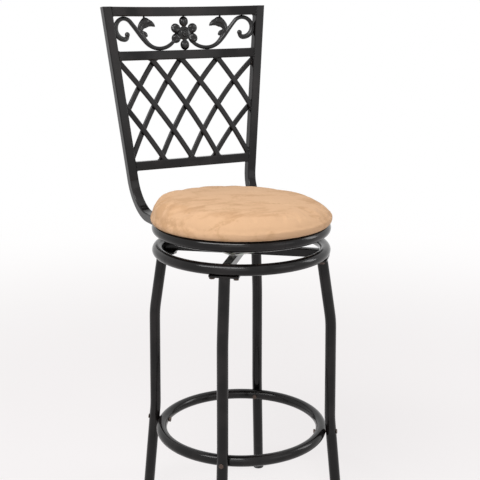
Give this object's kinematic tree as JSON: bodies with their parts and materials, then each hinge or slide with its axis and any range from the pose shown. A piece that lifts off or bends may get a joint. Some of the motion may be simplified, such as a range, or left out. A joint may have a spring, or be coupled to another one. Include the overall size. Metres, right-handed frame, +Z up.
{
  "type": "swivel bar stool",
  "caption": "Swivel bar stool in dark painted steel tube: round tan upholstered seat, reclined back with crossed lattice bars and a cast scroll frieze, bent legs and a foot ring.",
  "frame": {"origin": "on the floor, under the middle of the stool's box; the swivel axis stands 65.6 mm ahead of it", "axes": "+Z up, the seat faces -Y at rest, +X to the sitter's left"},
  "size_m": [0.4308, 0.5481, 1.2152],
  "materials": {
    "frame_paint": "satin bronze-black powder coat",
    "cast_ornament": "painted like the frame, slightly rubbed on the high points",
    "dark_fasteners": "brown-black oxide",
    "swivel_steel": "zinc plated, lightly greased",
    "cage_plastic": "natural moulded plastic",
    "seat_plywood": "bare plywood",
    "seat_foam": "open upholstery foam",
    "seat_fabric": "tan suede-like microfibre with a brushed nap",
    "glide_plastic": "black moulded plastic"
  },
  "bodies": {
    "base": {"base_ring": "frame_paint", "base_through_bar": "frame_paint", "base_front_stub": "frame_paint", "base_rear_stub": "frame_paint", "leg_bolts": "dark_fasteners", "foot_ring": "frame_paint", "foot_ring_bolts": "dark_fasteners", "foot_ring_nuts": "dark_fasteners", "swivel_lower_plate": "swivel_steel", "lower_plate_bolts": "swivel_steel", "lower_ball_race": "swivel_steel", "pivot_pin": "swivel_steel", "pivot_washer": "swivel_steel", "pivot_nut": "swivel_steel", "leg_front_left": "frame_paint", "leg_front_right": "frame_paint", "leg_rear_right": "frame_paint", "leg_rear_left": "frame_paint", "leg_plate_front_left": "frame_paint", "leg_plate_front_right": "frame_paint", "leg_plate_rear_right": "frame_paint", "leg_plate_rear_left": "frame_paint", "glide_front_left": "glide_plastic", "glide_front_right": "glide_plastic", "glide_rear_right": "glide_plastic", "glide_rear_left": "glide_plastic"},
    "bearing": {"bearing_balls": "swivel_steel", "bearing_cage": "cage_plastic"},
    "seat": {"seat_ring": "frame_paint", "seat_bar_left": "frame_paint", "seat_bar_right": "frame_paint", "back_upright_left": "frame_paint", "back_upright_right": "frame_paint", "back_lower_rail": "frame_paint", "back_middle_rail": "frame_paint", "back_top_rail": "frame_paint", "lattice_falling_bar_1": "frame_paint", "lattice_falling_bar_2": "frame_paint", "lattice_falling_bar_3": "frame_paint", "lattice_falling_bar_4": "frame_paint", "lattice_falling_bar_5": "frame_paint", "lattice_rising_bar_1": "frame_paint", "lattice_rising_bar_2": "frame_paint", "lattice_rising_bar_3": "frame_paint", "lattice_rising_bar_4": "frame_paint", "lattice_rising_bar_5": "frame_paint", "frieze_flower": "cast_ornament", "frieze_scroll_left": "cast_ornament", "frieze_scroll_right": "cast_ornament", "upper_ball_race": "swivel_steel", "swivel_upper_plate": "swivel_steel", "upper_plate_bolts": "swivel_steel", "seat_screws": "swivel_steel", "seat_board": "seat_plywood", "seat_foam": "seat_foam", "seat_cover": "seat_fabric"}
  },
  "joints": [
    {"name": "seat_swivel", "type": "hinge", "parent": "base", "child": "seat", "pos_m": [0, -0.06557, 0.7], "axis": [0, 0, 1], "continuous": true},
    {"name": "bearing_roll", "type": "hinge", "parent": "base", "child": "bearing", "pos_m": [0, -0.06557, 0.6966], "axis": [0, 0, 1], "continuous": true}
  ],
  "couplings": [
    {"joint": "bearing_roll", "follows": "seat_swivel", "ratio": 0.5}
  ]
}
